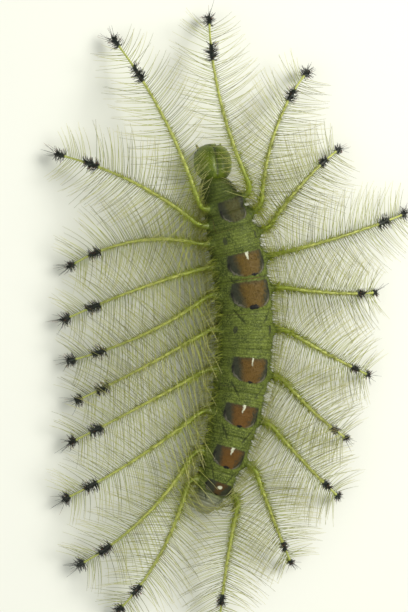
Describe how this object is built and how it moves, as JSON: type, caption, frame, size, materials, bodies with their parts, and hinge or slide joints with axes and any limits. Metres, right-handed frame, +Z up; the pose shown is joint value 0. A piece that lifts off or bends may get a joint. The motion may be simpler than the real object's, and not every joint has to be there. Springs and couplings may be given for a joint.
{
  "type": "gaudy baron butterfly larva",
  "caption": "Life-size still butterfly larva with a bent segmented body and long branched side spines, resting on its prolegs.",
  "frame": {"origin": "middle of the footprint of the whole larva, at the level of the soles", "axes": "+Y towards the head, +X to the larva's right, +Z up through its back"},
  "size_m": [0.0412, 0.0674, 0.0064],
  "materials": {
    "skin": "velvety matte green skin with brown patches on the back",
    "head": "smooth horny green head capsule",
    "leg": "pale green horny legs",
    "spine": "translucent yellow-green shafts and hairs with black clusters"
  },
  "bodies": {
    "root": {"head": "head", "prothorax": "skin", "mesothorax": "skin", "metathorax": "skin", "abdomen_1": "skin", "abdomen_2": "skin", "abdomen_3": "skin", "abdomen_4": "skin", "abdomen_5": "skin", "abdomen_6": "skin", "abdomen_7": "skin", "abdomen_8": "skin", "abdomen_9": "skin", "abdomen_10": "skin", "leg_prothorax_left": "leg", "leg_prothorax_right": "leg", "leg_mesothorax_left": "leg", "leg_mesothorax_right": "leg", "leg_metathorax_left": "leg", "leg_metathorax_right": "leg", "proleg_abdomen_3_left": "skin", "proleg_abdomen_3_right": "skin", "proleg_abdomen_4_left": "skin", "proleg_abdomen_4_right": "skin", "proleg_abdomen_5_left": "skin", "proleg_abdomen_5_right": "skin", "proleg_abdomen_6_left": "skin", "proleg_abdomen_6_right": "skin", "proleg_abdomen_10_left": "skin", "proleg_abdomen_10_right": "skin", "spine_mesothorax_left": "spine", "spine_mesothorax_right": "spine", "spine_metathorax_left": "spine", "spine_metathorax_right": "spine", "spine_abdomen_1_left": "spine", "spine_abdomen_1_right": "spine", "spine_abdomen_2_left": "spine", "spine_abdomen_2_right": "spine", "spine_abdomen_3_left": "spine", "spine_abdomen_3_right": "spine", "spine_abdomen_4_left": "spine", "spine_abdomen_4_right": "spine", "spine_abdomen_5_left": "spine", "spine_abdomen_5_right": "spine", "spine_abdomen_6_left": "spine", "spine_abdomen_6_right": "spine", "spine_abdomen_7_left": "spine", "spine_abdomen_7_right": "spine", "spine_abdomen_8_left": "spine", "spine_abdomen_8_right": "spine"}
  },
  "joints": []
}
